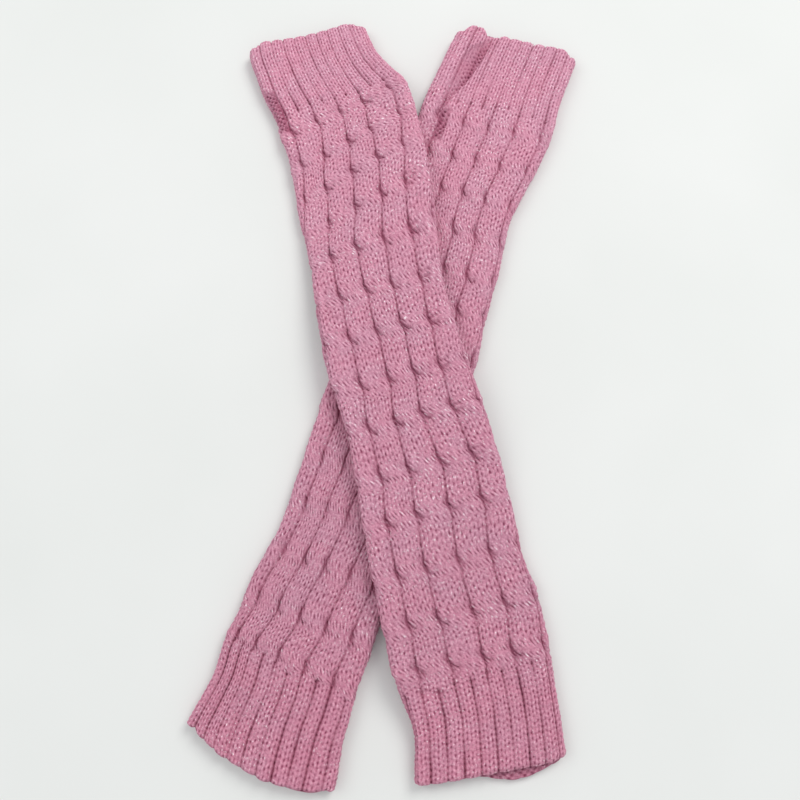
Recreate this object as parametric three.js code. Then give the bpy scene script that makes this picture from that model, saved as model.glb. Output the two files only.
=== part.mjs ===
// A pair of cable-knit leg warmers laid flat on a table, one crossed over the other.
//
// Each leg warmer is a knitted tube in three stretches: a ribbed top cuff, a cabled body and a
// ribbed bottom cuff. It lies flattened, so its front and back layers rest on each other and
// meet in a rounded fold along each side. The under leg lies on the table. The over leg lies on
// the table at both ends and climbs over the under leg between them.
//
// Millimetres, +Z up, the table at Z = 0. A leg has its own flat frame: `along` runs from its
// top hem to its bottom hem, and `across` runs to the right of that.
import * as THREE from "three";

// ---- Cloth ----
const WALL = 3.2; // one layer of the knit
const AIR = 1.6; // between the two layers
const FLAT = 2 * WALL + AIR; // a flattened tube, away from its side folds
const FOLD = 9.0; // the same at the side folds, which spring open a little
const MOUTH = 1.4; // how much further apart the layers are at a hem
const MOUTH_REACH = 26; // along the leg, before they lie close again
const SEAM_GAP = 0.3; // between a cuff and the body
const REST_GAP = 0.5; // between the over leg and the under leg
const RAMP = 45; // beside the under leg, before the over leg is back on the table
const SHOULDER = 2; // level stretch beside the under leg, before that slope starts
const CORNER_POWER = 10; // how sharply a hem turns into the side folds

// ---- Facets ----
const STEP_ALONG = 12; // between rings of the body
const CUFF_STEPS = 5;
const BOTTOM_STEPS = 6; // across one layer
const TOP_STEPS = 8;
const FOLD_STEPS = 4; // round one side fold

const PINK = new THREE.Color(0.72, 0.36, 0.47);

// ---- The two legs ----
// start is where the leg's own frame begins on the table, and turn is its heading in degrees,
// positive towards +X. A section gives the two side folds. A hem is middle + tilt * s + bow * s^2
// for s from -1 at the left fold to 1 at the right one, corner is how far its corners are
// rounded back, and back is how much further out the back layer reaches in the middle. A roll
// is where a side fold has rolled in on itself at the top hem: its place and half width as s,
// how much higher it stands, and how far along the leg it dies out.
const OVER = {
  name: "over",
  start: [-53.2, 211.8],
  turn: 13.6,
  seams: [50, 383],
  topHem: { middle: 4, tilt: 0, bow: -3.5, corner: 5, back: 0 },
  bottomHem: { middle: 429, tilt: 2.5, bow: 0.5, corner: 4, back: 5.5 },
  roll: null,
  sections: [
    { along: 0, left: -38.0, right: 31.5 },
    { along: 12, left: -39.0, right: 33.0 },
    { along: 25, left: -37.5, right: 35.5 },
    { along: 38, left: -36.0, right: 40.5 },
    { along: 50, left: -33.5, right: 46.0 },
    { along: 62, left: -32.0, right: 47.5 },
    { along: 80, left: -30.0, right: 47.5 },
    { along: 100, left: -30.5, right: 47.0 },
    { along: 120, left: -32.0, right: 45.0 },
    { along: 145, left: -32.0, right: 42.0 },
    { along: 175, left: -34.5, right: 37.5 },
    { along: 215, left: -36.0, right: 39.0 },
    { along: 245, left: -33.0, right: 41.5 },
    { along: 275, left: -34.5, right: 43.5 },
    { along: 305, left: -36.5, right: 43.5 },
    { along: 332, left: -37.5, right: 42.5 },
    { along: 347, left: -38.0, right: 44.5 },
    { along: 370, left: -38.0, right: 44.0 },
    { along: 384, left: -36.5, right: 42.5 },
    { along: 400, left: -34.8, right: 40.5 },
    { along: 415, left: -37.5, right: 39.0 },
    { along: 432, left: -41.5, right: 37.0 },
  ],
};
const UNDER = {
  name: "under",
  start: [72.8, 211.8],
  turn: -18.6,
  seams: [56, 389],
  topHem: { middle: 8, tilt: -2, bow: -2.5, corner: 6, back: 0 },
  bottomHem: { middle: 442.5, tilt: 3.5, bow: -6.5, corner: 4, back: 1 },
  roll: { at: -0.78, half: 0.34, height: 3.8, reach: 78 },
  sections: [
    { along: 4, left: -34.0, right: 38.5 },
    { along: 20, left: -36.0, right: 37.7 },
    { along: 40, left: -38.0, right: 37.0 },
    { along: 62, left: -40.0, right: 38.0 },
    { along: 80, left: -40.0, right: 36.4 },
    { along: 100, left: -39.5, right: 33.2 },
    { along: 120, left: -39.0, right: 30.5 },
    { along: 150, left: -38.5, right: 33.5 },
    { along: 180, left: -37.5, right: 35.0 },
    { along: 205, left: -36.8, right: 37.5 },
    { along: 245, left: -36.5, right: 36.5 },
    { along: 290, left: -34.7, right: 34.5 },
    { along: 325, left: -34.3, right: 33.0 },
    { along: 350, left: -38.5, right: 32.5 },
    { along: 370, left: -39.3, right: 32.5 },
    { along: 387, left: -41.2, right: 32.0 },
    { along: 402, left: -40.3, right: 33.0 },
    { along: 416, left: -42.2, right: 33.6 },
    { along: 430, left: -44.6, right: 36.0 },
    { along: 442, left: -44.0, right: 37.6 },
  ],
};

const smooth = (t) => {
  const u = Math.min(1, Math.max(0, t));
  return u * u * (3 - 2 * u);
};
const mix = (a, b, t) => a + (b - a) * t;

// One column of a leg's sections at any place along it, on a smooth curve through the rows.
function column(leg, name, along) {
  const rows = leg.sections;
  const last = rows.length - 1;
  let i = 0;
  while (i < last - 1 && rows[i + 1].along < along) i++;
  const row = (k) => rows[Math.min(last, Math.max(0, k))];
  const slope = (k) => {
    const span = row(k + 1).along - row(k - 1).along;
    return span ? (row(k + 1)[name] - row(k - 1)[name]) / span : 0;
  };
  const [a, b] = [row(i), row(i + 1)];
  const h = b.along - a.along;
  const t = Math.min(1, Math.max(0, (along - a.along) / h));
  const [t2, t3] = [t * t, t * t * t];
  return (
    (2 * t3 - 3 * t2 + 1) * a[name] +
    (t3 - 2 * t2 + t) * h * slope(i) +
    (3 * t2 - 2 * t3) * b[name] +
    (t3 - t2) * h * slope(i + 1)
  );
}

// Where a hem lies along the leg, for s across it and layer -1 (back) to 1 (front).
// out is -1 at the top hem and 1 at the bottom hem.
function hemAlong(hem, s, layer, out) {
  const edge = hem.middle + hem.tilt * s + hem.bow * s * s;
  const rounded = hem.corner * Math.abs(s) ** CORNER_POWER;
  const back = hem.back * Math.max(0, -layer) * (1 - s * s);
  return edge - out * rounded + out * back;
}

function onTable(leg, along, across) {
  const a = THREE.MathUtils.degToRad(leg.turn);
  return [
    leg.start[0] + across * Math.cos(a) + along * Math.sin(a),
    leg.start[1] + across * Math.sin(a) - along * Math.cos(a),
  ];
}

function inLeg(leg, x, y) {
  const a = THREE.MathUtils.degToRad(leg.turn);
  const [dx, dy] = [x - leg.start[0], y - leg.start[1]];
  return {
    along: dx * Math.sin(a) - dy * Math.cos(a),
    across: dx * Math.cos(a) + dy * Math.sin(a),
  };
}

// How high the over leg's underside is above the table: over the under leg it clears the side
// folds, and beside it comes down to the table on a long slope.
function drape(x, y) {
  const { along, across } = inLeg(UNDER, x, y);
  const left = column(UNDER, "left", along);
  const right = column(UNDER, "right", along);
  const beside = Math.max(left - across, across - right, 0);
  return (FOLD + REST_GAP) * smooth(1 - (beside - SHOULDER) / RAMP);
}

// How thick the flattened tube is at s across, `toHem` mm from the nearer hem.
function thickness(s, toHem) {
  const springy = (FOLD - FLAT) * Math.abs(s) ** 3;
  const mouth = MOUTH * (1 - s * s) * smooth(1 - toHem / MOUTH_REACH);
  return FLAT + springy + mouth;
}

// How much the rolled fold adds on top.
function rolled({ roll }, along, s) {
  if (!roll) return 0;
  const beside = Math.abs(s - roll.at) / roll.half;
  return roll.height * smooth(1 - beside) * smooth(1 - along / roll.reach);
}

// The points round a flattened tube, from the left end of the back layer: s across on a flat
// layer (-1 back, 1 front), and an angle on a side fold (side -1 left, 1 right).
function outline() {
  const flat = 0.999; // just inside the folds' own end points
  const points = [];
  for (let i = 0; i < BOTTOM_STEPS; i++)
    points.push({ layer: -1, s: mix(-flat, flat, i / BOTTOM_STEPS) });
  for (let i = 0; i < FOLD_STEPS; i++)
    points.push({ side: 1, turn: mix(-90, 90, i / FOLD_STEPS) });
  for (let i = 0; i < TOP_STEPS; i++)
    points.push({ layer: 1, s: mix(flat, -flat, i / TOP_STEPS) });
  for (let i = 0; i < FOLD_STEPS; i++)
    points.push({ side: -1, turn: mix(90, -90, i / FOLD_STEPS) });
  return points;
}

// One point of the tube's outer or inner face. The flat layers reach to the middle of each
// side fold, which is a half circle of cloth.
function facePoint(leg, point, inner, place) {
  const radius = FOLD / 2;
  const depth = inner ? WALL : 0;
  const onFold = point.side !== undefined;
  const turn = onFold ? THREE.MathUtils.degToRad(point.turn) : 0;
  const layer = onFold ? Math.sin(turn) : point.layer;
  const s = onFold ? point.side : point.s;
  const { along, toHem } = place(s, layer);
  const left = column(leg, "left", along) + radius;
  const right = column(leg, "right", along) - radius;
  const across = mix(left, right, (s + 1) / 2);
  const thick = thickness(s, toHem);
  let out = 0;
  let height = layer < 0 ? depth : thick - depth;
  if (onFold) {
    out = point.side * (radius - depth) * Math.cos(turn);
    height = radius + (radius - depth) * Math.sin(turn);
  }
  const lift = !inner && height > radius ? rolled(leg, along, s) : 0;
  const [x, y] = onTable(leg, along, across + out);
  const base = leg === OVER ? drape(x, y) : 0;
  return new THREE.Vector3(x, y, base + height + lift);
}

// A closed tube of cloth through `places`, each a function from (s, layer) to its along.
function tube(leg, name, places) {
  const round = outline();
  const n = round.length;
  const vertices = [];
  for (const inner of [false, true])
    for (const place of places)
      for (const point of round) vertices.push(facePoint(leg, point, inner, place));
  const at = (inner, i, j) => (inner * places.length + i) * n + (j % n);
  const faces = [];
  const quad = (a, b, c, d) => faces.push(a, b, c, a, c, d);
  const last = places.length - 1;
  for (let j = 0; j < n; j++) {
    for (let i = 0; i < last; i++) {
      quad(at(0, i, j), at(0, i, j + 1), at(0, i + 1, j + 1), at(0, i + 1, j));
      quad(at(1, i, j), at(1, i + 1, j), at(1, i + 1, j + 1), at(1, i, j + 1));
    }
    quad(at(0, 0, j), at(1, 0, j), at(1, 0, j + 1), at(0, 0, j + 1));
    quad(at(0, last, j), at(0, last, j + 1), at(1, last, j + 1), at(1, last, j));
  }
  const geometry = new THREE.BufferGeometry().setFromPoints(vertices);
  geometry.setIndex(faces);
  geometry.computeVertexNormals();
  const knit = new THREE.MeshStandardMaterial({ color: PINK, roughness: 0.95, metalness: 0 });
  const mesh = new THREE.Mesh(geometry, knit);
  mesh.name = name;
  return mesh;
}

// The places of a stretch's rings, from share 0 to 1 between two edges of the cloth.
function stretch(steps, from, to, toHem) {
  return Array.from({ length: steps + 1 }, (_, i) => (s, layer) => {
    const along = mix(from(s, layer), to(s, layer), i / steps);
    return { along, toHem: toHem(along) };
  });
}

function legParts(leg) {
  const [seamA, seamB] = leg.seams;
  const half = SEAM_GAP / 2;
  const topHem = (s, layer) => hemAlong(leg.topHem, s, layer, -1);
  const bottomHem = (s, layer) => hemAlong(leg.bottomHem, s, layer, 1);
  const toTop = (along) => Math.max(0, along - leg.topHem.middle);
  const toBottom = (along) => Math.max(0, leg.bottomHem.middle - along);
  const steps = Math.round((seamB - seamA) / STEP_ALONG);
  const top = stretch(CUFF_STEPS, topHem, () => seamA - half, toTop);
  const body = stretch(steps, () => seamA + half, () => seamB - half, () => MOUTH_REACH);
  const bottom = stretch(CUFF_STEPS, () => seamB + half, bottomHem, toBottom);
  return [
    tube(leg, `${leg.name}_top_cuff`, top),
    tube(leg, `${leg.name}_body`, body),
    tube(leg, `${leg.name}_bottom_cuff`, bottom),
  ];
}

const pair = new THREE.Group();
pair.add(...legParts(UNDER), ...legParts(OVER));
export default pair;
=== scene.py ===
import math

import bpy
import numpy as np
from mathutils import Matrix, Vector


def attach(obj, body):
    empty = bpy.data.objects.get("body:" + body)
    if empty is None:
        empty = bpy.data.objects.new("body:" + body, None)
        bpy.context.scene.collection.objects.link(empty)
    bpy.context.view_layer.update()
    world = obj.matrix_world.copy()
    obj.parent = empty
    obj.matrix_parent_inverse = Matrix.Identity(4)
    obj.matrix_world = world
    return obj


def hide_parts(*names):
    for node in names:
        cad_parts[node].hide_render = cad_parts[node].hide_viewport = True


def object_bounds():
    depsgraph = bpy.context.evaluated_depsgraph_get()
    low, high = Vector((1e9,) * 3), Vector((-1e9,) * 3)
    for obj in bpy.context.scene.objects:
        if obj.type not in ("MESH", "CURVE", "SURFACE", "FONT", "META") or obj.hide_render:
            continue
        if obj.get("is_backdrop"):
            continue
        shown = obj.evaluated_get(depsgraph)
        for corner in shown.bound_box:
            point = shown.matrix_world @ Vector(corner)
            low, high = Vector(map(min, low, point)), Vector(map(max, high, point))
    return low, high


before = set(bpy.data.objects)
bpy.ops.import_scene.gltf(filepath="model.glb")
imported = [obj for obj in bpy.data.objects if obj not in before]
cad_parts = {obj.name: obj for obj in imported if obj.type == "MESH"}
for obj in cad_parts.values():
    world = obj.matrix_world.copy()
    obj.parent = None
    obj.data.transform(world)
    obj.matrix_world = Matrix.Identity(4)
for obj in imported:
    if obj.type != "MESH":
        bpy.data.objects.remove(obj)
cad_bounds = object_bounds()
MM = 0.001

# ---- Cloth, as in the CAD ----
WALL, AIR = 3.2, 1.6  # one layer of knit, and the gap between the two layers of a tube
FLAT = 2 * WALL + AIR  # thickness of a laid tube
FOLD = 9.0  # and at the folds along its sides
RADIUS = FOLD / 2
QUARTER = math.pi * RADIUS / 2  # the arc from a fold's outermost edge to the flat layer
MOUTH, MOUTH_REACH = 1.4, 26.0  # how much a hem gapes, and how far along that fades
REST_GAP = 0.5  # between the over leg and the under leg
RAMP = 45.0  # beside the under leg, before the over leg is back on the table
SHOULDER = 2.0  # level stretch beside the under leg, before that slope starts
CORNER_POWER = 10  # how sharply a hem turns into the side folds

# ---- What the knit adds to that form ----
BACK_AT, BACK_HALF = 0.42, 0.80  # where a hem's back layer shows most, as s, and half that width
HOLLOW_FLOOR = 5.6  # height of the knit in the hollow beside the rolled flap
HOLLOW_LINING = 3.7  # and of its inner face there
HOLLOW_EDGE = 0.035  # how wide the hollow's right edge is, as s

# ---- Knit ----
COLUMNS = 10  # cable columns round a leg
WALES = 4  # knit wales in a column
RIBS = 2  # ribs in a column's width, in the cuffs
REPEAT = 6  # courses from one crossing to the next
TROUGH = 0.03  # half the trough between two columns, as a share of a column
RIB_TROUGH = 0.02  # and half the groove between two ribs
STRAND = 0.235  # half of one strand, and how far it stands from its column's middle
SWAP = 0.24  # how much of a repeat the strands take to trade places, to each side
LEAN = 0.42  # how much of a repeat the wales lean for, to each side
STEEP = 0.8  # how much steeper the legs of the stitches drawn out there are
FILLED = 0.06  # and how much less deep the holes between them
KICK = 0.035  # how far a crossing pushes the troughs beside it, as a share of a column
KICK_STEP = 0.15  # and how much of a repeat that takes, to each side
USUAL_CURL = 6  # the digit of a cable that curls as usual, in a leg's curls

# how a stitch's height is shared between its legs and its crest, and so in the drawn-out knit
LEGS_SHARE, CREST_SHARE = 0.48, 0.52
CORD_BASE, CORD_LEGS, CORD_CREST = 0.05, 0.30, 0.65
FULLNESS = 0.65  # the power of that height: below 1 it makes the stitches fuller

# ---- Relief, as depths in millimetres ----
KNIT_DEPTH = 2.0  # from a strand's crown down to the trough's floor
CREST = 0.35  # how far an ordinary crown lies below the CAD face
SIDES = 0.9  # how far a column falls away to its sides
GROOVE, GROOVE_TIGHT = 0.42, 0.85  # a trough's groove, and how much deeper a crossing draws it
PIT = 0.9  # what a crossing pulls in beside it
PROUD = 0.5  # how far the front strand stands over the other one
CRESCENT = 1.5  # where the front strand comes out of the trough
UNDERCUT = 0.45  # how far the other strand is sunk below that
DIP = 0.7  # where the other strand goes into the next trough
BARS, FAINT_BARS = 1.5, 0.15  # purl bars gathered beside a trough, and the usual share of them
BARS_A_COURSE = 1.25
RIB_DEPTH, RIB_GROOVE = 1.3, 0.20  # how far a rib falls away, and the groove beside it
START, START_DRAWN = 0.9, 0.6  # where a rib's groove begins, and what drawn-out knit adds
PURL_SUNK = 0.55  # how much lower the purl side lies
STITCH = 0.95  # the holes between the legs of a stitch
GRAIN = 0.16  # unevenness of the yarn
FULLER = 0.75  # how far the knit stands out round a side fold
RIM, RIM_REACH = 1.6, 1.8  # how much a hem's edge thins, and how far along that fades
THINNEST = 0.15  # what is left of the wall where the relief is deepest
LAP = 0.8  # how far two stretches of one leg run into each other at their seam
LAPPED = 0.12  # and how far below the other one each ends there

# ---- Grids of the shells ----
WALE_STEPS = 32  # steps across a column's wales
BODY_ROWS, COURSE_ROWS = 400, 5  # rows in a body, and in a course of a cuff
BODY_BEHIND, CUFF_BEHIND = 9, 20  # steps a column at the back
BODY_LINING, CUFF_LINING = 18, 16  # rows of the lining
LINING_POWER = 1.6  # above 1, a cuff's lie closer together at its hem

# ---- The two legs ----
# start and turn: the middle of the top end on the table, and the leg's turn in degrees.
# seams: where the body meets its cuffs, along.
# top_hem and bottom_hem: the hem's place along, as its middle, tilt and bow, how far its corners
#   are rounded back, how much further the back layer shows, and notches as (s, half width, depth).
# roll: the flap rolled in at the top left, as its middle and half width in s, height and length.
# sections: (along, the left edge's across, the right edge's across).
# troughs: (along, then where troughs 1 to 6 between the cable columns lie, as shares of the width,
#   which are below 0 or above 1 where a trough has gone round a fold).
# crossings: where the cables cross, along.
# skew: (along, how far down a course runs for each unit across).
# curls: a word for each crossing, with a digit for how strongly columns 1 to 5 curl there.
# cuff_courses: courses in the top cuff and in the bottom one.
# purl_patches: where the purl side shows, as (middle column, half width in columns, stretch along).
# hollow: the one beside the flap, as (along, its middle in s, half its width in s, how sunk).
# creases: (along, across) to (along, across), half width, depth, and front 1 or back -1.
# fine: the columns q between which the grid is fine, which are about those of the front.
# bars: the column with strong purl bars and the crossings that they lie between.
# seed: of everything uneven on the leg.
OVER = {
    "name": "over",
    "start": (-53.2, 211.8),
    "turn": 13.6,
    "seams": (50, 383),
    "top_hem": dict(middle=4, tilt=0, bow=-3.5, corner=5, back=0, notches=[]),
    "bottom_hem": dict(middle=429, tilt=2.5, bow=0.5, corner=1.5, back=5.2, notches=[]),
    "roll": None,
    "sections": [
        (0, -38.0, 31.5), (12, -39.0, 33.0), (25, -37.5, 35.5), (38, -36.0, 40.5),
        (50, -33.5, 46.0), (62, -32.0, 47.5), (80, -30.0, 47.5), (100, -30.5, 47.0),
        (120, -32.0, 45.0), (145, -32.0, 42.0), (175, -34.5, 37.5), (215, -36.0, 39.0),
        (245, -33.0, 41.5), (275, -34.5, 43.5), (305, -36.5, 43.5), (332, -37.5, 42.5),
        (347, -38.0, 44.5), (370, -38.0, 44.0), (384, -36.5, 42.5), (400, -34.8, 40.5),
        (415, -37.5, 39.0), (432, -41.5, 37.0),
    ],
    "troughs": [
        (0, 0.10, 0.30, 0.49, 0.68, 0.87, 1.06),
        (50, 0.09, 0.29, 0.48, 0.66, 0.87, 1.06),
        (70, 0.087, 0.288, 0.471, 0.644, 0.875, 1.06),
        (95, 0.076, 0.229, 0.438, 0.638, 0.838, 1.04),
        (120, 0.029, 0.219, 0.419, 0.619, 0.80, 1.00),
        (143, -0.03, 0.168, 0.366, 0.584, 0.792, 0.99),
        (174, 0.00, 0.20, 0.406, 0.61, 0.83, 1.03),
        (218, 0.00, 0.213, 0.417, 0.602, 0.796, 0.99),
        (247, -0.04, 0.155, 0.349, 0.547, 0.774, 0.98),
        (272, -0.03, 0.171, 0.364, 0.586, 0.808, 1.01),
        (299, -0.04, 0.156, 0.353, 0.576, 0.805, 1.01),
        (325, -0.03, 0.162, 0.347, 0.57, 0.785, 0.99),
        (351, -0.03, 0.161, 0.352, 0.574, 0.779, 0.98),
        (370, -0.05, 0.154, 0.356, 0.574, 0.76, 0.97),
        (400, -0.11, 0.11, 0.34, 0.56, 0.77, 0.97),
        (432, -0.10, 0.11, 0.33, 0.55, 0.76, 0.96),
    ],
    "crossings": [
        59.5, 80, 100, 122, 146, 172, 196.5, 223.5, 246.6, 273.7, 297.7, 325.4, 351.4, 374.3,
    ],
    "skew": [
        (0, -0.05), (50, -0.18), (95, -0.25), (125, -0.25), (145, -0.10), (158, 0.0),
        (360, 0.0), (383, 0.06), (432, 0.0),
    ],
    "curls": "65472 57832 47782 55885 66767 66754 66686 66785 67886 66676 67766 56645 66656 86778",
    "cuff_courses": (18, 17),
    "purl_patches": [(0.76, 0.25, 34, 66)],
    "hollow": None,
    "creases": [
        (381, -31, 389, -13, 2.6, 1.1, 1), (55, 18, 71, 35, 3.5, 0.7, 1),
        (148, -26, 192, -30, 4.0, 0.6, 1), (302, 34, 346, 37, 3.5, 0.8, 1),
        (224, 5, 263, 13, 5.0, 0.4, 1), (100, 38, 131, 33, 3.6, 0.6, 1),
        (90, -15, 142, -4, 4.0, 0.7, -1), (201, 21, 252, 8, 5.0, 0.6, -1),
        (310, -11, 352, 7, 4.2, 0.7, -1), (396, 15, 421, 22, 3.0, 0.6, -1),
        (20, -5, 48, 4, 3.5, 0.6, -1), (262, -26, 297, -21, 3.6, 0.5, -1),
    ],
    "fine": (0.45, 6.15),
    "bars": (5, 2, 10),
    "seed": 11,
}
UNDER = {
    "name": "under",
    "start": (72.8, 211.8),
    "turn": -18.6,
    "seams": (56, 389),
    "top_hem": dict(middle=8, tilt=-2, bow=-2.5, corner=6, back=0, notches=[(-0.5, 0.22, 3.5)]),
    "bottom_hem": dict(middle=442.5, tilt=3.5, bow=-6.5, corner=1.5, back=1, notches=[]),
    "roll": dict(at=-0.86, half=0.30, height=3.8, reach=78),
    "sections": [
        (4, -34.0, 38.5), (20, -36.0, 37.7), (40, -38.0, 37.0), (62, -40.0, 38.0),
        (80, -40.0, 36.4), (100, -39.5, 33.2), (120, -39.0, 30.5), (150, -38.5, 33.5),
        (180, -37.5, 35.0), (205, -36.8, 37.5), (245, -36.5, 36.5), (290, -34.7, 34.5),
        (325, -34.3, 33.0), (350, -38.5, 32.5), (370, -39.3, 32.5), (387, -41.2, 32.0),
        (402, -40.3, 33.0), (416, -42.2, 33.6), (430, -44.6, 36.0), (442, -44.0, 37.6),
    ],
    "troughs": [
        (0, 0.15, 0.34, 0.53, 0.72, 0.91, 1.10),
        (56, 0.15, 0.34, 0.53, 0.72, 0.92, 1.12),
        (88, 0.16, 0.349, 0.534, 0.726, 0.934, 1.13),
        (180, 0.20, 0.387, 0.574, 0.761, 0.987, 1.18),
        (270, 0.15, 0.32, 0.50, 0.70, 0.91, 1.11),
        (362, 0.098, 0.257, 0.427, 0.633, 0.83, 1.03),
        (388, 0.065, 0.205, 0.39, 0.596, 0.82, 1.02),
        (442, 0.06, 0.21, 0.40, 0.60, 0.80, 1.00),
    ],
    "crossings": [
        69, 91, 113, 136, 160, 181, 206.5, 232, 257, 282.5, 308, 336, 364, 386,
    ],
    "skew": [
        (0, -0.02), (56, -0.09), (120, -0.05), (180, 0.0), (340, 0.04), (389, 0.12), (442, 0.04),
    ],
    "curls": "34322 57443 56754 56856 55573 55665 55565 55555 55555 25555 33455 38656 36655 55555",
    "cuff_courses": (18, 17),
    "purl_patches": [(1.2, 0.22, 62, 88)],
    "hollow": [
        (0, -0.50, 0.05, 0.0), (12, -0.51, 0.06, 0.0), (16, -0.52, 0.07, 0.6),
        (22, -0.59, 0.13, 1.0), (29, -0.64, 0.16, 1.0), (40, -0.68, 0.14, 1.0),
        (50, -0.73, 0.10, 0.9), (60, -0.78, 0.06, 0.7), (74, -0.86, 0.05, 0.4),
        (90, -0.95, 0.05, 0.0),
    ],
    "creases": [
        (66, -22, 96, -30, 3.5, 0.8, 1), (118, 17, 158, 9, 4.5, 0.5, 1),
        (300, -24, 345, -28, 4.0, 0.7, 1), (352, 18, 384, 12, 3.5, 0.6, 1),
        (396, -23, 446, -20, 3.2, 1.7, 1), (205, 12, 238, 20, 5.0, 0.4, 1),
        (100, 5, 150, -8, 4.5, 0.7, -1), (190, -20, 235, -12, 5.0, 0.6, -1),
        (260, 18, 312, 9, 4.0, 0.7, -1), (400, -12, 430, -20, 3.5, 0.6, -1),
        (16, 8, 50, 2, 3.5, 0.6, -1), (335, -22, 371, -9, 3.8, 0.5, -1),
    ],
    "fine": (0.30, 5.90),
    "bars": None,
    "seed": 31,
}
LEGS = (UNDER, OVER)


# ---- Curves ----
def smooth(t):
    """0 up to t = 0, 1 from t = 1 on, and a smooth rise between."""
    u = np.clip(t, 0, 1)
    return u * u * (3 - 2 * u)


def mix(a, b, t):
    return a + (b - a) * t


def bump(t):
    """1 at t = 0 and 0 from t = -1 and 1 outwards."""
    return smooth(1 - np.abs(t))


def near(x, at, half):
    """1 where x is `at`, and 0 from `half` away from it outwards."""
    return bump((x - at) / half)


def crown(x, power=3.0):
    """The section of a strand: 1 on its crown and 0 at its sides."""
    return np.sqrt(np.clip(1 - np.abs(x) ** power, 0, 1))


def hermite(rows, column, along):
    """A column of a table at any place along it, on a smooth curve through its rows."""
    rows = np.array(rows, float)
    x, y = rows[:, 0], rows[:, column]
    slope = np.zeros(len(x))
    slope[1:-1] = (y[2:] - y[:-2]) / (x[2:] - x[:-2])
    slope[0] = (y[1] - y[0]) / (x[1] - x[0])
    slope[-1] = (y[-1] - y[-2]) / (x[-1] - x[-2])
    i = np.clip(np.searchsorted(x, along, side="right") - 1, 0, len(x) - 2)
    h = x[i + 1] - x[i]
    t = np.clip((along - x[i]) / h, 0, 1)
    t2, t3 = t * t, t * t * t
    return (
        (2 * t3 - 3 * t2 + 1) * y[i] + (t3 - 2 * t2 + t) * h * slope[i]
        + (3 * t2 - 2 * t3) * y[i + 1] + (t3 - t2) * h * slope[i + 1]
    )


def uneven(x, y, seed):
    """Smooth unevenness from -1 to 1 over a plane, the same each run."""
    period = 64
    table = np.random.default_rng(seed).uniform(-1, 1, (period, period))
    i, j = np.floor(x).astype(int), np.floor(y).astype(int)
    u, v = smooth(x - i), smooth(y - j)
    i0, i1 = i % period, (i + 1) % period
    j0, j1 = j % period, (j + 1) % period
    low = mix(table[i0, j0], table[i1, j0], u)
    high = mix(table[i0, j1], table[i1, j1], u)
    return mix(low, high, v)


# ---- A leg's form ----
def edges(leg, along):
    return hermite(leg["sections"], 1, along), hermite(leg["sections"], 2, along)


def on_table(leg, along, across):
    a = math.radians(leg["turn"])
    x = leg["start"][0] + across * math.cos(a) + along * math.sin(a)
    y = leg["start"][1] + across * math.sin(a) - along * math.cos(a)
    return x, y


def in_leg(leg, x, y):
    """Along and across of a place on the table."""
    a = math.radians(leg["turn"])
    dx, dy = x - leg["start"][0], y - leg["start"][1]
    return dx * math.sin(a) - dy * math.cos(a), dx * math.cos(a) + dy * math.sin(a)


def drape(x, y):
    """How high the over leg's underside is above the table."""
    along, across = in_leg(UNDER, x, y)
    left, right = edges(UNDER, along)
    beside = np.maximum(np.maximum(left - across, across - right), 0)
    return (FOLD + REST_GAP) * smooth(1 - (beside - SHOULDER) / RAMP)


def hem_along(hem, s, layer, out):
    """Where a hem is along the leg. `out` is -1 for a top hem and 1 for a bottom one."""
    edge = hem["middle"] + hem["tilt"] * s + hem["bow"] * s * s
    for at, half, by in hem["notches"]:
        edge = edge - out * by * near(s, at, half) * smooth(layer)
    back = hem["back"] * np.maximum(0, -layer) * near(s, BACK_AT, BACK_HALF)
    return edge - out * hem["corner"] * np.abs(s) ** CORNER_POWER + out * back


def to_hem(leg, along):
    """How far a place is from the nearer hem."""
    top = np.maximum(0, along - leg["top_hem"]["middle"])
    bottom = np.maximum(0, leg["bottom_hem"]["middle"] - along)
    return np.minimum(top, bottom)


def thickness(leg, along, s):
    springy = (FOLD - FLAT) * np.abs(s) ** 3
    return FLAT + springy + MOUTH * (1 - s * s) * smooth(1 - to_hem(leg, along) / MOUTH_REACH)


def rolled(leg, along, s):
    """How much the rolled flap raises the front."""
    roll = leg["roll"]
    if not roll:
        return 0.0
    beside = np.abs(s - roll["at"]) / roll["half"]
    return roll["height"] * smooth(1 - beside) * smooth(1 - along / roll["reach"])


def hollowed(leg, along, s, layer):
    """How far the front is sunk into the hollow beside the flap: 0 not at all, 1 to its floor.
    It is sunk least at its left, beside the flap, and its left edge is the wider one."""
    if not leg["hollow"]:
        return 0 * s
    middle, half, sunk = (hermite(leg["hollow"], k, along) for k in (1, 2, 3))
    t = (s - middle) / half
    edge = HOLLOW_EDGE / np.maximum(half, 0.02)
    slope = mix(0.3, 1.0, smooth((t + 1) / 2))
    right = smooth((1 - t) / edge + 0.5)
    left = smooth((1 + t) / edge * 0.6 + 0.5)
    return np.clip(sunk, 0, 1) * slope * right * left * smooth(layer / 0.5)


def creased(leg, along, across, layer):
    """How deep the leg's soft creases are at a place. Each one comes in over 0.4 of its length
    and runs out over 0.25 of it."""
    depth = 0 * across
    for a0, b0, a1, b1, half, deep, face in leg["creases"]:
        da, db = a1 - a0, b1 - b0
        length = math.hypot(da, db)
        t = ((along - a0) * da + (across - b0) * db) / length
        aside = ((across - b0) * da - (along - a0) * db) / length
        ends = smooth(t / (0.4 * length)) * smooth((length - t) / (0.25 * length))
        depth = depth + deep * ends * near(aside, 0, half) * smooth(2 * face * layer - 0.2)
    return depth


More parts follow.
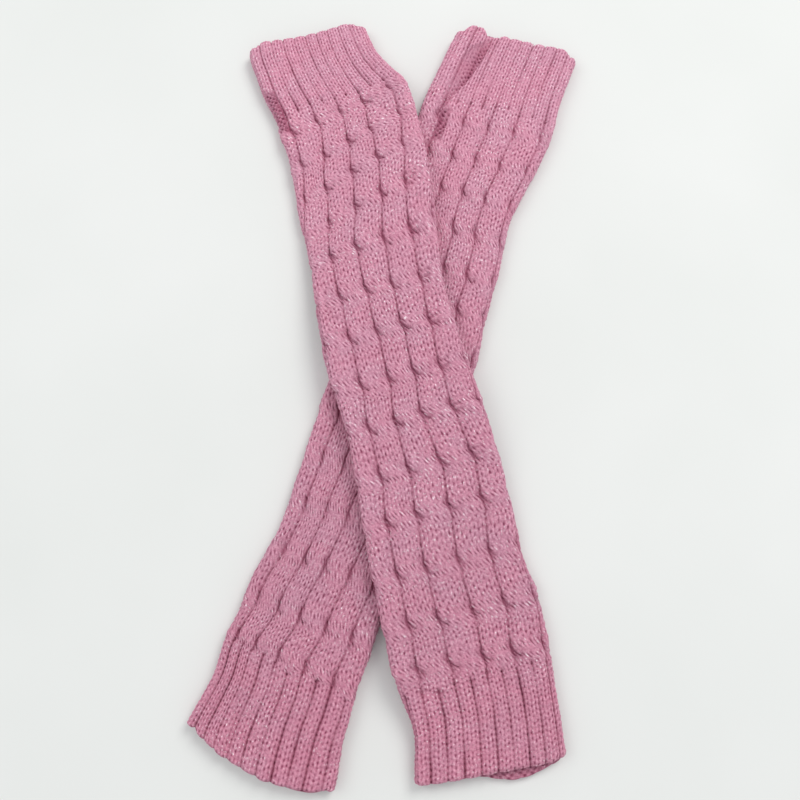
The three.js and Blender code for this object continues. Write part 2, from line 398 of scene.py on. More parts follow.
# ---- Where the knit lies on the tube ----
def arc_of_share(share, width):
    """How far round the tube, from its left edge over the front, a share of the width is."""
    x = np.clip(share, 0, 1) * width
    left = RADIUS * np.arccos(np.clip(1 - x / RADIUS, -1, 1))
    right = RADIUS * np.arccos(np.clip(1 - (width - x) / RADIUS, -1, 1))
    front = width - 2 * RADIUS + 2 * QUARTER
    arc = np.where(x < RADIUS, left, QUARTER + x - RADIUS)
    arc = np.where(x > width - RADIUS, front - right, arc)
    return arc + np.minimum(share, 0) * width + np.maximum(share - 1, 0) * width


def arc_of_column(leg, q, along):
    """How far round the tube the knit's column q is, for q from 0 to COLUMNS. The troughs in
    front are where the leg's table has them, and those behind share out the rest."""
    left, right = edges(leg, along)
    width = right - left
    round_ = 2 * (width - 2 * RADIUS + 2 * QUARTER)
    front = len(leg["troughs"][0]) - 1
    behind = COLUMNS + 1 - front
    marks = [arc_of_share(hermite(leg["troughs"], k + 1, along), width) for k in range(front)]
    for k in range(1, behind + 1):
        marks.append(mix(marks[front - 1], marks[0] + round_, k / behind))
    marks = np.array(marks)
    place = np.mod(q - 1, COLUMNS)
    k = np.minimum(np.floor(place).astype(int), COLUMNS - 1)
    low = np.take_along_axis(marks, k[None], 0)[0]
    high = np.take_along_axis(marks, k[None] + 1, 0)[0]
    return np.mod(mix(low, high, place - k), round_)


def on_outline(leg, arc, along):
    """What the tube's outline is at `arc`: across, or that of the fold's centre on a fold; s;
    layer, which is also how far its way out points up; how far that points right; if it is on
    a fold."""
    left, right = edges(leg, along)
    flat = right - left - 2 * RADIUS
    front = flat + 2 * QUARTER
    back = arc >= front
    a = np.where(back, arc - front, arc)
    first = a < QUARTER
    last = a > QUARTER + flat
    turn = np.where(first, a / RADIUS, np.where(last, (front - a) / RADIUS, math.pi / 2))
    along_flat = np.clip(a - QUARTER, 0, flat)
    # the front runs left to right, the back right to left
    centre = np.where(back, right - RADIUS - along_flat, left + RADIUS + along_flat)
    side = np.where(first, -1.0, np.where(last, 1.0, 0.0)) * np.where(back, -1.0, 1.0)
    layer = np.sin(turn) * np.where(back, -1.0, 1.0)
    s = np.clip((centre - (left + RADIUS)) / flat * 2 - 1, -1, 1)
    return centre, s, layer, side * np.cos(turn), side != 0


def surface(leg, q, along, depth):
    """Points of the cloth at column q, `depth` below its outer face, in millimetres, and their
    across, s and layer."""
    arc = arc_of_column(leg, q, along)
    centre, s, layer, rightward, on_fold = on_outline(leg, arc, along)
    across = centre + np.where(on_fold, (RADIUS - depth) * rightward, 0)
    flat_height = np.where(layer < 0, depth, thickness(leg, along, s) - depth)
    height = np.where(on_fold, RADIUS + (RADIUS - depth) * layer, flat_height)
    height = height + np.where(layer > 0, rolled(leg, along, s) * smooth(layer), 0)
    floor = mix(HOLLOW_FLOOR, HOLLOW_LINING, np.clip(depth / WALL, 0, 1))
    height = mix(height, np.minimum(floor, height), hollowed(leg, along, s, layer))
    x, y = on_table(leg, along, across)
    base = drape(x, y) if leg is OVER else 0.0
    return np.stack([x, y, base + height], -1), across, s, layer


# ---- Courses, crossings and yarn ----
def courses_at(leg, along):
    """The course number at a place along the leg: crossing k is at course REPEAT * k."""
    marks = np.array(leg["crossings"], float)
    numbers = REPEAT * np.arange(len(marks), dtype=float)
    a, b = leg["seams"]
    first = (marks[1] - marks[0]) / REPEAT
    last = (marks[-1] - marks[-2]) / REPEAT
    seam_a = numbers[0] - (marks[0] - a) / first
    seam_b = numbers[-1] + (b - marks[-1]) / last
    top, bottom = leg["cuff_courses"]
    x = np.concatenate([[leg["top_hem"]["middle"], a], marks, [b, leg["bottom_hem"]["middle"]]])
    y = np.concatenate([[seam_a - top, seam_a], numbers, [seam_b, seam_b + bottom]])
    return np.interp(along, x, y)


def course_of(leg, along, across):
    skew = hermite(leg["skew"], 1, along)
    return courses_at(leg, along - skew * across)


def cabled_at(leg, q, course):
    """1 in the body, where the cables run, and 0 in the cuffs, with a ragged edge between."""
    first, last = (courses_at(leg, seam) for seam in leg["seams"])
    ragged = 1.3 * uneven(q * 2, 0 * q + 0.5, leg["seed"] + 8)
    cabled = smooth((course - first + ragged) / 1.6 + 0.5)
    return cabled * smooth((last - course + ragged) / 1.6 + 0.5)


def drawn_out(leg, along):
    """Where the knit is drawn out lengthwise: 1 in the top cuff, less in the bottom one."""
    top, bottom = leg["seams"]
    return np.maximum(smooth((top + 5 - along) / 14), 0.4 * smooth((along - bottom) / 8))


def purl_shown(leg, q, along, s, layer):
    """Where the knit shows its purl side: 1 there and 0 elsewhere."""
    shown = hollowed(leg, along, s, layer)
    for column, half, a, b in leg["purl_patches"]:
        inside = smooth((1 - np.abs(q - column) / half) / 0.3)
        shown = np.maximum(shown, inside * smooth((along - a) / 5) * smooth((b - along) / 5))
    return shown


def phase_of(leg, q, course):
    """How far a place is from its column's nearest crossing, -0.5 to 0.5, and which one that is."""
    phase = course / REPEAT + 0.05 * uneven(np.floor(q), course / REPEAT / 2, leg["seed"])
    nearest = np.round(phase)
    return phase - nearest, nearest


def curl(leg, column, crossing):
    """How strongly the cables of a column curl at a crossing, 1 being usual."""
    placed = np.array([[int(digit) for digit in row] for row in leg["curls"].split()]) / USUAL_CURL
    rows, columns = placed.shape
    k, i = crossing.astype(int), column.astype(int) - 1
    seen = (k >= 0) & (k < rows) & (i >= 0) & (i < columns)
    hidden = 0.85 + 0.35 * uneven(column + 0.5, crossing, leg["seed"] + 1)
    return np.where(seen, placed[np.clip(k, 0, rows - 1), np.clip(i, 0, columns - 1)], hidden)


def gathered(leg, column, crossing):
    """How strong the purl bars beside a column's left trough are at a crossing."""
    if not leg["bars"]:
        return FAINT_BARS
    strong, after, before = leg["bars"]
    return np.where((column == strong) & (crossing > after) & (crossing < before), 1.0, FAINT_BARS)


def yarn_at(leg, q, course, cabled):
    """Where a place is on the yarn: which wale, counted round the leg, which course, and how
    much it leans. The wales lean with the cables, two wales to the right at each crossing."""
    p, nearest = phase_of(leg, q, course)
    turned = math.pi / 2 * np.clip(p / LEAN, -1, 1)
    # what the wales of a cuff are shifted by: nothing above the body, and every crossing below it
    led = np.where(course < REPEAT, 0, 2 * len(leg["crossings"]))
    wale = WALES * q - mix(led, np.sin(turned) + 2 * nearest + 1, cabled)
    lean = cabled * smooth(np.cos(turned) * 1.2)
    wale = wale + 0.07 * uneven(wale * 1.1, course * 1.3, leg["seed"] + 12)
    course = course - 0.5 * lean * np.sin(turned)
    return wale, course + 0.12 * uneven(wale * 1.9, course * 0.9, leg["seed"] + 13), lean


# ---- The relief of the knit ----
def stitch(wales, courses, lean, drawn):
    """How raised the knit stitches are, 0 to 1. Each has two legs that part downwards, with
    a hole between them and one beside the next wale. Where the wales lean, the legs are
    steeper, and where the knit is drawn out the holes close and the legs run on as cords."""
    aside = np.abs(2 * np.mod(wales, 1) - 1)
    leg_on = 0.5 + 0.5 * np.cos(2 * math.pi * (courses - 0.5 * aside * (1 + STEEP * lean)))
    crest = np.sin(math.pi * aside) ** 2
    plain = LEGS_SHARE * leg_on + CREST_SHARE * crest
    cord = CORD_BASE + CORD_LEGS * leg_on + CORD_CREST * crest
    return mix(mix(plain, cord, drawn), 1, FILLED * lean) ** FULLNESS


def purl(wales, courses):
    """How raised the bars of purl stitches are."""
    return np.clip(0.5 + 0.6 * np.cos(2 * math.pi * courses) * np.cos(2 * math.pi * wales), 0, 1)


def from_trough(q):
    """How far a place is from the nearest trough, as a share of a column."""
    c = q - np.floor(q)
    return np.minimum(c, 1 - c)


def from_groove(q):
    """How far a place is from the nearest groove between two ribs, as a share of a rib."""
    rib = np.mod(RIBS * q, 1)
    return np.minimum(rib, 1 - rib)


def cable_height(leg, q, course):
    """How high the cables stand over the trough's floor. In a column, c runs from 0 at its left
    trough to 1 at its right one. In a repeat, p runs from -0.5 down to 0.5, with 0 at the
    crossing, where the knit is drawn tight."""
    seed = leg["seed"]
    column = np.floor(q)
    c = q - column
    p, crossing = phase_of(leg, q, course)
    vary = curl(leg, column, crossing)
    tight = near(p, -0.08, 0.26)
    trough = from_trough(q)

    # a column of four wales, with the troughs' grooves and pits beside it
    pinch = 1.0 + 0.7 * uneven(np.round(q) + 0.5, course / REPEAT * 2, seed + 5)
    sides = 1 - crown((c - 0.5) / (0.5 - TROUGH), 3.2)
    height = KNIT_DEPTH - SIDES * sides * (0.8 + 0.4 * tight)
    height = height - (GROOVE * pinch + GROOVE_TIGHT * vary * tight) * near(trough, 0, 0.040)
    height = height - PIT * vary * near(trough, 0, 0.075) * near(p, -0.05, 0.13)

    # its front strand, crossing from upper left to lower right
    swap = np.sin(math.pi / 2 * np.clip(p / SWAP, -1, 1))
    strand = (c - 0.5 - STRAND * swap) / STRAND
    height = height + PROUD * vary * near(p, 0, LEAN) * np.clip(1 - np.abs(strand) ** 3, 0, 1)

    # the crescent where the front strand comes out of the trough over the other one, as the
    # lower left of a ring
    reach = 0.20 * (1 + 0.4 * uneven(column + 0.5, crossing + 0.5, seed + 6)) * (0.4 + 0.6 * vary)
    rise = 0.33 * (1 + 0.25 * uneven(column + 0.5, crossing + 7.5, seed + 6))
    beside = c - TROUGH - reach
    ring = ((np.abs(beside) / reach) ** 2.4 + (np.abs(p + 0.24) / rise) ** 2.4) ** (1 / 2.4)
    shown = smooth((0.05 - beside) / 0.10) * smooth((p + 0.36) / 0.16)
    height = height - CRESCENT * vary * shown * near(ring, 1, 0.14)
    below = smooth((ring - 0.95) / 0.15) * smooth((p + 0.05) / 0.12)
    height = height - UNDERCUT * vary * below * smooth((0.42 - p) / 0.30) * smooth((0.34 - c) / 0.22)

    # the small hole where the other one dips into the next trough
    height = height - DIP * vary * near(p, -0.14, 0.15) * near(c, 0.92, 0.10)

    # the purl bars gathered beside the left trough
    bars = gathered(leg, column, crossing) * tight * near(c, 0.22, 0.30)
    wave = 0.5 - 0.5 * np.cos(2 * math.pi * BARS_A_COURSE * (course + 0.5 * c))
    return height - BARS * bars * wave


def rib_height(leg, q, course, drawn):
    """How high the ribs of a cuff stand over the trough's floor, each of two wales."""
    deep = (1.1 + 0.75 * uneven(np.round(RIBS * q), course / REPEAT, leg["seed"] + 2)) * (1 - 0.5 * drawn)
    sides = 1 - crown((np.mod(RIBS * q, 1) - 0.5) / (0.5 - RIBS * RIB_TROUGH), 2.0)
    height = KNIT_DEPTH - RIB_DEPTH * deep * sides
    return height - RIB_GROOVE * deep * near(from_groove(q), 0, 0.08)


def groove_start(leg, q, course, cabled):
    """Where a groove between two ribs begins, next to the body: 1 there and 0 elsewhere."""
    _, crossing = phase_of(leg, q, course)
    ragged = 0.2 * uneven(np.round(RIBS * q), crossing, leg["seed"] + 14)
    return bump((cabled - 0.3 - ragged) / 0.5) * smooth(cabled / 0.2)


def knit_relief(leg, q, course, cabled, purled, drawn):
    """Depth of the knit below its CAD face, its level without stitches, and its yarn."""
    seed = leg["seed"]
    height = mix(rib_height(leg, q, course, drawn), cable_height(leg, q, course), cabled)
    start = groove_start(leg, q, course, cabled)
    height = height - (START + START_DRAWN * drawn) * start * near(from_groove(q), 0, 0.20)
    height = height - PURL_SUNK * purled
    level = height / KNIT_DEPTH - 0.4 * purled
    wales, courses, lean = yarn_at(leg, q, course, cabled)
    single = 1 + 0.5 * uneven(wales * 1.3, courses * 0.9, seed + 3)
    raised = mix(stitch(wales, courses, lean, drawn), purl(wales, courses), purled)
    depth = CREST + KNIT_DEPTH - height + STITCH * (single + 0.5 * purled) * (1 - raised)
    depth = depth + GRAIN * uneven(6 * WALES * q * 0.9, course * 1.1, seed + 4)
    return depth, level, wales, courses, lean


def kick(leg, q, course, cabled):
    """How far a crossing pushes the trough beside it, as a share of a column: it drifts left
    from one crossing to the next, and steps back to the right at each."""
    p, _ = phase_of(leg, np.round(q), course)
    rise = smooth((p + KICK_STEP) / (2 * KICK_STEP)) * 2 - 1
    past = np.where(p > 0, p, p + 1)
    fall = 1 - 2 * np.clip((past - KICK_STEP) / (1 - 2 * KICK_STEP), 0, 1)
    push = np.where(np.abs(p) < KICK_STEP, rise, fall)
    return KICK * cabled * near(from_trough(q), 0, 0.5) * push


# ---- The shells ----
def column_nodes(leg, behind):
    """The columns of a shell's grid: fine in front, `behind` of them a column at the back."""
    a, b = leg["fine"]
    wales = TROUGH + WALES * STRAND * np.arange(WALE_STEPS + 1) / WALE_STEPS
    unit = np.concatenate([wales, [1 - TROUGH / 3, 1 + TROUGH / 3]])
    fine = np.concatenate([unit + n for n in range(-1, COLUMNS)])
    fine = np.unique(np.round(fine[(fine >= a) & (fine <= b)], 6))
    gap = COLUMNS - (fine[-1] - fine[0])
    steps = int(round(gap * behind))
    rest = fine[-1] + gap * np.arange(1, steps) / steps
    return np.concatenate([fine, rest])


def body_grid(leg, q_line):
    """A body's grid: along and course at each node, and the rows that its lining has too. It
    runs on a little below both cuffs, so that no crack shows between them."""
    seam_a, seam_b = leg["seams"]
    course_line = np.linspace(courses_at(leg, seam_a), courses_at(leg, seam_b), BODY_ROWS)
    fine_along = np.linspace(seam_a, seam_b, 10 * BODY_ROWS)
    along_line = np.interp(course_line, courses_at(leg, fine_along), fine_along)
    along_line = np.concatenate([[seam_a - LAP], along_line, [seam_b + LAP]])
    along = np.repeat(along_line[:, None], len(q_line), 1)
    q = np.repeat(q_line[None], len(along), 0)
    across = surface(leg, q, along, np.zeros_like(q))[1]
    lining_rows = np.unique(np.linspace(0, len(along) - 1, BODY_LINING).astype(int))
    return along, course_of(leg, along, across), lining_rows


def cuff_grid(leg, part, q_line):
    """A cuff's grid, as the body's: from its hem, scalloped by the ribs, to a little past its
    seam, below the body."""
    top = part == "top_cuff"
    out = -1 if top else 1
    hem = leg["top_hem" if top else "bottom_hem"]
    seam = float(leg["seams"][0 if top else 1])
    n = len(q_line)
    middle = np.full(n, float(hem["middle"]))
    _, s, layer, *_ = on_outline(leg, arc_of_column(leg, q_line, middle), middle)
    scallop = crown((np.mod(RIBS * q_line, 1) - 0.5) / 0.5, 2) - (1.0 if top else 0.45)
    scallop = scallop * (0.8 + 0.7 * uneven(np.floor(RIBS * q_line), 0 * q_line, leg["seed"] + 9))
    hem_line = hem_along(hem, s, layer, out) + out * scallop
    hem_line = hem_line + 0.5 * uneven(q_line * 1.3, 0 * q_line + 0.5, leg["seed"] + 10)
    t = np.linspace(0, 1, leg["cuff_courses"][0 if top else 1] * COURSE_ROWS + 1)[:, None]
    along = np.concatenate([mix(hem_line[None], seam, t), np.full((1, n), seam - out * LAP)])
    at_seam = along[-2:]
    across = surface(leg, np.stack([q_line, q_line]), at_seam, 0 * at_seam)[1]
    course_seam = course_of(leg, at_seam, across)
    course_hem = courses_at(leg, hem["middle"])
    course = np.concatenate([mix(course_hem, course_seam[:1], t), course_seam[1:]])
    lining_rows = np.linspace(0, 1, CUFF_LINING) ** LINING_POWER * (len(along) - 1)
    return along, course, np.unique(np.round(lining_rows).astype(int))


def grid_faces(first, rows, columns, flip):
    """The quads of a grid that closes round itself, from its first point's number on."""
    i = np.arange(rows - 1)[:, None]
    j = np.arange(columns)[None]
    a = first + i * columns + j
    b = first + i * columns + (j + 1) % columns
    quads = np.stack([a, b, b + columns, a + columns], -1).reshape(-1, 4)
    return quads[:, ::-1] if flip else quads


def tube_faces(rows, lining_rows, n):
    """The quads of a tube with a lining: both faces, and last the rims that join them."""
    inner = rows * n
    last, last_inner = (rows - 1) * n, inner + (lining_rows - 1) * n
    j = np.arange(n)
    k = (j + 1) % n
    top = np.stack([j, inner + j, inner + k, k], -1)
    bottom = np.stack([last + j, last + k, last_inner + k, last_inner + j], -1)
    outside = grid_faces(0, rows, n, False)
    lining = grid_faces(inner, lining_rows, n, True)
    return np.concatenate([outside, lining, top, bottom])


def shell(leg, part):
    """A stretch of a leg: its points in metres, its quads, what its knit is at each point, and
    how many quads its rims have."""
    ribbed = part != "body"
    q_line = column_nodes(leg, CUFF_BEHIND if ribbed else BODY_BEHIND)
    grid = cuff_grid(leg, part, q_line) if ribbed else body_grid(leg, q_line)
    along, course, lining_rows = grid
    lapped = [-1] if ribbed else [0, -1]
    q = np.repeat(q_line[None], len(along), 0)

    # first the places, then the relief on them
    _, across, s, layer = surface(leg, q, along, np.zeros_like(q))
    cabled = cabled_at(leg, q, course)
    purled = purl_shown(leg, q, along, s, layer)
    drawn = drawn_out(leg, along)
    depth, level, wales, courses, lean = knit_relief(leg, q, course, cabled, purled, drawn)
    depth = depth + creased(leg, along, across, layer)
    depth = depth - FULLER * np.sqrt(np.clip(1 - layer**2, 0, 1))
    if ribbed:
        from_rim = np.abs(along - along[0:1])
        depth = depth + RIM * np.clip(1 - from_rim / RIM_REACH, 0, 1) ** 2
    depth[lapped] += LAPPED
    shift = kick(leg, q, course, cabled)
    outer = surface(leg, q + shift, along, np.minimum(depth, WALL - THINNEST))[0]
    lining = np.full_like(q, WALL)
    lining[lapped] -= 2 * LAPPED
    inner = surface(leg, q, along, lining)[0][lining_rows]
    points = np.concatenate([outer.reshape(-1, 3), inner.reshape(-1, 3)]) * MM

    # the lining is plain purl, and its wales and courses are those of the face over it
    outside = {"level": level, "lean": lean, "purl": purled, "drawn": drawn}
    # the lining's level of 0.5 gives it part of the troughs' painted shade
    within = {"level": 0.5, "lean": 0.0, "purl": 1.0, "drawn": 0.0}
    values = {}
    for key, value in outside.items():
        values[key] = np.append(value.ravel(), np.full(lining_rows.size * q_line.size, within[key]))
    for key, value in {"wale": wales, "course": courses}.items():
        values[key] = np.append(value.ravel(), value[lining_rows].ravel())
    faces = tube_faces(len(along), len(lining_rows), len(q_line))
    return points, faces, values, 2 * len(q_line)


def signed_volume(points, faces):
    a, b, c, d = (points[faces[:, k]] for k in range(4))
    first = np.einsum("ij,ij->i", a, np.cross(b, c))
    second = np.einsum("ij,ij->i", a, np.cross(c, d))
    return (first + second).sum() / 6


def write_mesh(name, points, faces, values, rims):
    """An object of quads that face out, smooth but for the last `rims` of them."""
    mesh = bpy.data.meshes.new(name)
    if signed_volume(points, faces) < 0:
        faces = faces[:, ::-1]
    mesh.vertices.add(len(points))
    mesh.vertices.foreach_set("co", points.astype(np.float32).ravel())
    mesh.loops.add(faces.size)
    mesh.loops.foreach_set("vertex_index", faces.astype(np.int32).ravel())
    mesh.polygons.add(len(faces))
    mesh.polygons.foreach_set("loop_start", np.arange(0, faces.size, 4, dtype=np.int32))
    mesh.polygons.foreach_set("loop_total", np.full(len(faces), 4, dtype=np.int32))
    mesh.polygons.foreach_set("use_smooth", np.arange(len(faces)) < len(faces) - rims)
    for key, value in values.items():
        attribute = mesh.attributes.new(key, "FLOAT", "POINT")
        attribute.data.foreach_set("value", value.astype(np.float32))
    mesh.update()
    mesh.validate()
    obj = bpy.data.objects.new(name, mesh)
    bpy.context.scene.collection.objects.link(obj)
    return obj


# ---- Materials ----
class Nodes:
    """A small builder for a material's node tree."""

    def __init__(self, name):
        self.material = bpy.data.materials.new(name)
        self.material.use_nodes = True
        self.tree = self.material.node_tree
        self.shader = self.tree.nodes["Principled BSDF"]

    def add(self, kind, **settings):
        node = self.tree.nodes.new(kind)
        for key, value in settings.items():
            setattr(node, key, value)
        return node

    def link(self, out, into):
        self.tree.links.new(out, into)

    def feed(self, value, socket):
        if isinstance(value, bpy.types.NodeSocket):
            self.link(value, socket)
        else:
            socket.default_value = value

    def math(self, operation, a, b=0.5, clamp=False):
        node = self.add("ShaderNodeMath", operation=operation, use_clamp=clamp)
        for socket, value in zip(node.inputs, (a, b)):
            self.feed(value, socket)
        return node.outputs[0]

    def plus(self, a, b, clamp=False):
        return self.math("ADD", a, b, clamp)

    def minus(self, a, b):
        return self.math("SUBTRACT", a, b)

    def times(self, a, b):
        return self.math("MULTIPLY", a, b)

    def mix(self, a, b, t):
        return self.plus(a, self.times(self.minus(b, a), t))

    def wave(self, turns):
        """The cosine of a number of whole turns."""
        return self.math("COSINE", self.times(turns, 2 * math.pi))

    def attribute(self, name):
        return self.add("ShaderNodeAttribute", attribute_name=name).outputs["Fac"]

    def place(self):
        return self.add("ShaderNodeTexCoord").outputs["Object"]

    def axis(self, vector, index):
        node = self.add("ShaderNodeSeparateXYZ")
        self.link(vector, node.inputs[0])
        return node.outputs[index]

    def ramp(self, value, *stops):
        node = self.add("ShaderNodeValToRGB")
        while len(node.color_ramp.elements) < len(stops):
            node.color_ramp.elements.new(0.5)
        for element, (at, colour) in zip(node.color_ramp.elements, stops):
            element.position = at
            element.color = (*colour, 1)
        self.link(value, node.inputs[0])
        return node.outputs[0]

    def blend(self, kind, amount, a, b):
        node = self.add("ShaderNodeMix", data_type="RGBA", blend_type=kind)
        for index, value in ((0, amount), (6, a), (7, b)):
            self.feed(value, node.inputs[index])
        return node.outputs[2]

    def noise(self, vector, scale, detail=2.0, rough=0.5):
        node = self.add("ShaderNodeTexNoise")
        node.inputs["Scale"].default_value = scale
        node.inputs["Detail"].default_value = detail
        node.inputs["Roughness"].default_value = rough
        self.link(vector, node.inputs["Vector"])
        return node.outputs[0]

    def set_shader(self, values):
        for name, value in values.items():
            self.shader.inputs[name].default_value = value


def grey(v):
    return (v, v, v)


PINK = ((0.30, (0.541, 0.217, 0.313)), (0.5, (0.622, 0.275, 0.377)), (0.72, (0.712, 0.371, 0.468)))
HEATHER = ((0.30, (0.523, 0.230, 0.320)), (0.5, (0.606, 0.290, 0.392)), (0.72, (0.712, 0.396, 0.494)))
# pale flecks along the yarn, partly pale fibres and partly painted glints
PALE_FIBRE_AND_GLINT = (0.95, 0.85, 0.89, 1)
# painted shade and highlight that the yarn's colour is multiplied by, from painted shade in a stitch's
# hole to a painted highlight on its crest
STITCH_PAINTED_SHADE_AND_HIGHLIGHT = (
    (0.03, (0.38, 0.18, 0.27)), (0.30, (0.82, 0.72, 0.76)), (0.62, grey(1.0)), (0.95, (1.20, 1.30, 1.27)),
)
# painted shade, deepest on a trough's floor and gone by a crown
LEVEL_PAINTED_SHADE = ((0.0, (0.62, 0.42, 0.50)), (0.6, (0.90, 0.85, 0.87)), (1.0, grey(1.03)))
# from thin fuzz to thick
FUZZ_SHADE = ((0.30, (0.80, 0.76, 0.78)), (0.70, grey(1.16)))
# and painted light: darker and redder towards the legs' bottom ends, lighter towards their top ends
END_PAINTED_LIGHT = ((0.0, (0.96, 0.86, 0.88)), (0.25, grey(0.93)), (0.6, grey(1.0)), (1.0, grey(1.09)))


def stitches_raised(n, wale, course):
    """The legs, holes and purl bars of the shells' relief, in the same places, and so the mask of the
    stitches' painted shade and highlight.
    """
    lean, purled, drawn = (n.attribute(name) for name in ("lean", "purl", "drawn"))
    aside = n.times(n.math("PINGPONG", n.plus(wale, 0.5), 0.5), 2.0)
    slant = n.times(aside, n.plus(n.times(lean, STEEP), 1.0))
    leg_on = n.plus(n.times(n.wave(n.minus(course, n.times(slant, 0.5))), 0.5), 0.5)
    crest = n.math("POWER", n.math("SINE", n.times(aside, math.pi)), 2.0)
    plain = n.plus(n.times(leg_on, LEGS_SHARE), n.times(crest, CREST_SHARE))
    cord = n.plus(n.plus(n.times(leg_on, CORD_LEGS), CORD_BASE), n.times(crest, CORD_CREST))
    raised = n.mix(n.mix(plain, cord, drawn), 1.0, n.times(lean, FILLED))
    bars = n.plus(n.times(n.times(n.wave(wale), n.wave(course)), 0.55), 0.38, clamp=True)
    return n.mix(raised, bars, purled)


def yarn_colour(n, place, wale, course):
    """Pink yarn, marled and in patches heathered, with pale flecks lying along it: partly pale fibres and
    partly painted glints.
    """
    marl = n.noise(place, 900, 2, 0.6)
    patches = n.ramp(n.noise(place, 70, 2), (0.40, grey(0)), (0.62, grey(1)))
    whole = n.blend("MIX", patches, n.ramp(marl, *PINK), n.ramp(marl, *HEATHER))
    yarn = n.add("ShaderNodeCombineXYZ")
    n.link(wale, yarn.inputs[0])
    n.link(course, yarn.inputs[1])
    stretch = n.add("ShaderNodeMapping")
    stretch.inputs["Scale"].default_value = (5.0, 2.2, 1.0)
    n.link(yarn.outputs[0], stretch.inputs["Vector"])
    # pale flecks along the yarn, partly pale fibres and partly painted glints
    fibre_and_glint = n.ramp(n.noise(stretch.outputs[0], 1.0, 1), (0.61, grey(0)), (0.74, grey(1)))
    # the pale flecks, partly painted glints, are thick in some places and sparse in others
    fibre_and_glint_cover = n.plus(n.times(n.noise(place, 42, 1), 2.2), -0.48, clamp=True)
    return n.blend("MIX", n.times(fibre_and_glint, fibre_and_glint_cover), whole, PALE_FIBRE_AND_GLINT)


def knit_material():
    n = Nodes("knit")
    place = n.place()
    wale, course = n.attribute("wale"), n.attribute("course")
    whole = yarn_colour(n, place, wale, course)

    # the painted shade and highlight of the stitches show more in some places than in others
    some = n.ramp(n.noise(place, 330, 1), (0.36, grey(0.25)), (0.60, grey(1.0)))
    shade = n.ramp(stitches_raised(n, wale, course), *STITCH_PAINTED_SHADE_AND_HIGHLIGHT)
    whole = n.blend("MULTIPLY", some, whole, shade)
    whole = n.blend("MULTIPLY", 1.0, whole, n.ramp(n.noise(place, 1500, 2, 0.7), *FUZZ_SHADE))
    # painted light by place along the table: darker towards the legs' bottom ends, lighter towards their
    # top ends
    up = n.plus(n.times(n.axis(place, 1), 2.3), 0.5)
    whole = n.blend("MULTIPLY", 1.0, whole, n.ramp(up, *END_PAINTED_LIGHT))
    # painted shade in the troughs and on sunk purl, by the knit's level
    whole = n.blend("MULTIPLY", 1.0, whole, n.ramp(n.attribute("level"), *LEVEL_PAINTED_SHADE))
    n.link(whole, n.shader.inputs["Base Color"])
    n.set_shader({
        "Roughness": 0.9, "Specular IOR Level": 0.2,
        "Sheen Weight": 0.18, "Sheen Roughness": 0.5, "Sheen Tint": (1.0, 0.66, 0.78, 1),
    })
    fibres = n.add("ShaderNodeBump")
    fibres.inputs["Strength"].default_value = 0.5
    fibres.inputs["Distance"].default_value = 0.0003
    n.link(n.noise(place, 2600, 2, 0.6), fibres.inputs["Height"])
    n.link(fibres.outputs[0], n.shader.inputs["Normal"])
    return n.material


# ---- Pieces ----
def stretches(leg):
    """The stretches of a leg and how long each is."""
    top, bottom = leg["top_hem"]["middle"], leg["bottom_hem"]["middle"]
    seam_a, seam_b = leg["seams"]
    return {"top_cuff": seam_a - top, "body": seam_b - seam_a, "bottom_cuff": bottom - seam_b}


def add_piece(leg, part, knit):
    node = f"{leg['name']}_{part}"
    piece = write_mesh(f"{node}_knit", *shell(leg, part))
    piece.data.materials.append(knit)
    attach(piece, "root")
    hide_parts(node)


# ---- Table, light and camera, in metres ----
TABLE_HALF = 3.0
# name, place, size across, power in watts, colour
LIGHTS = [
    ("window", (1.06, 1.24, 1.74), 1.32, 25.4, (1.0, 0.985, 0.96)),
    ("wall", (-1.3, 0.3, 1.5), 1.3, 6.3, (1.0, 0.99, 0.97)),
]
ROOM_COLOUR, ROOM_STRENGTH = (0.96, 0.98, 1.0, 1), 0.68
TARGET = (0.0008, -0.0142)  # where on the table the camera is pointed
DISTANCE, TILT = 0.473, math.radians(12)
FILM, FIELD_OF_VIEW = 36, math.radians(50)  # the film's width in millimetres, and what it takes in


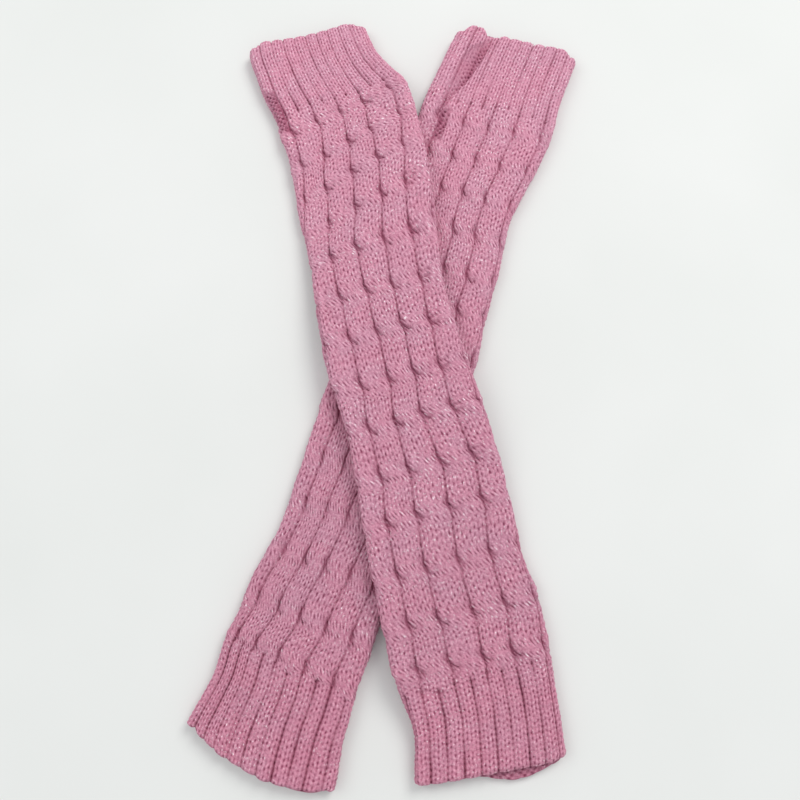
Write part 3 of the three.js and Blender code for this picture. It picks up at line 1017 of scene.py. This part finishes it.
def build_table():
    mesh = bpy.data.meshes.new("table_top")
    half = TABLE_HALF
    corners = [(-half, -half, 0), (half, -half, 0), (half, half, 0), (-half, half, 0)]
    mesh.from_pydata(corners, [], [(0, 1, 2, 3)])
    obj = bpy.data.objects.new("table_top", mesh)
    bpy.context.scene.collection.objects.link(obj)
    n = Nodes("table")
    tint = n.ramp(n.noise(n.place(), 6, 3), (0.3, (0.775, 0.79, 0.77)), (0.7, (0.815, 0.825, 0.81)))
    n.link(tint, n.shader.inputs["Base Color"])
    n.set_shader({"Roughness": 0.6, "Specular IOR Level": 0.2})
    mesh.materials.append(n.material)
    obj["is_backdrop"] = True


def area_light(name, place, size, power, colour):
    """A round light that faces the middle of the table."""
    data = bpy.data.lights.new(name, "AREA")
    data.shape = "DISK"
    data.size = size
    data.energy = power
    data.color = colour
    obj = bpy.data.objects.new(name, data)
    obj.location = place
    obj.rotation_euler = (-Vector(place)).to_track_quat("-Z", "Y").to_euler()
    bpy.context.scene.collection.objects.link(obj)


def light_room():
    world = bpy.data.worlds.new("room")
    world.use_nodes = True
    background = world.node_tree.nodes["Background"]
    background.inputs[0].default_value = ROOM_COLOUR
    background.inputs[1].default_value = ROOM_STRENGTH
    bpy.context.scene.world = world
    bpy.context.scene.view_settings.view_transform = "Standard"


def place_camera():
    lens = bpy.data.cameras.new("camera")
    lens.sensor_width = FILM
    lens.lens = FILM / (2 * math.tan(FIELD_OF_VIEW / 2))
    camera = bpy.data.objects.new("camera", lens)
    x, y = TARGET
    camera.location = (x, y - DISTANCE * math.sin(TILT), DISTANCE * math.cos(TILT))
    camera.rotation_euler = (TILT, 0, 0)
    bpy.context.scene.collection.objects.link(camera)
    bpy.context.scene.camera = camera


knit = knit_material()
for leg in LEGS:
    for part, span in stretches(leg).items():
        add_piece(leg, part, knit)
build_table()
for light in LIGHTS:
    area_light(*light)
light_room()
place_camera()

sizes = {"cad": cad_bounds, "visual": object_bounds()}
sizes = {key: [[float(v) for v in corner] for corner in box] for key, box in sizes.items()}
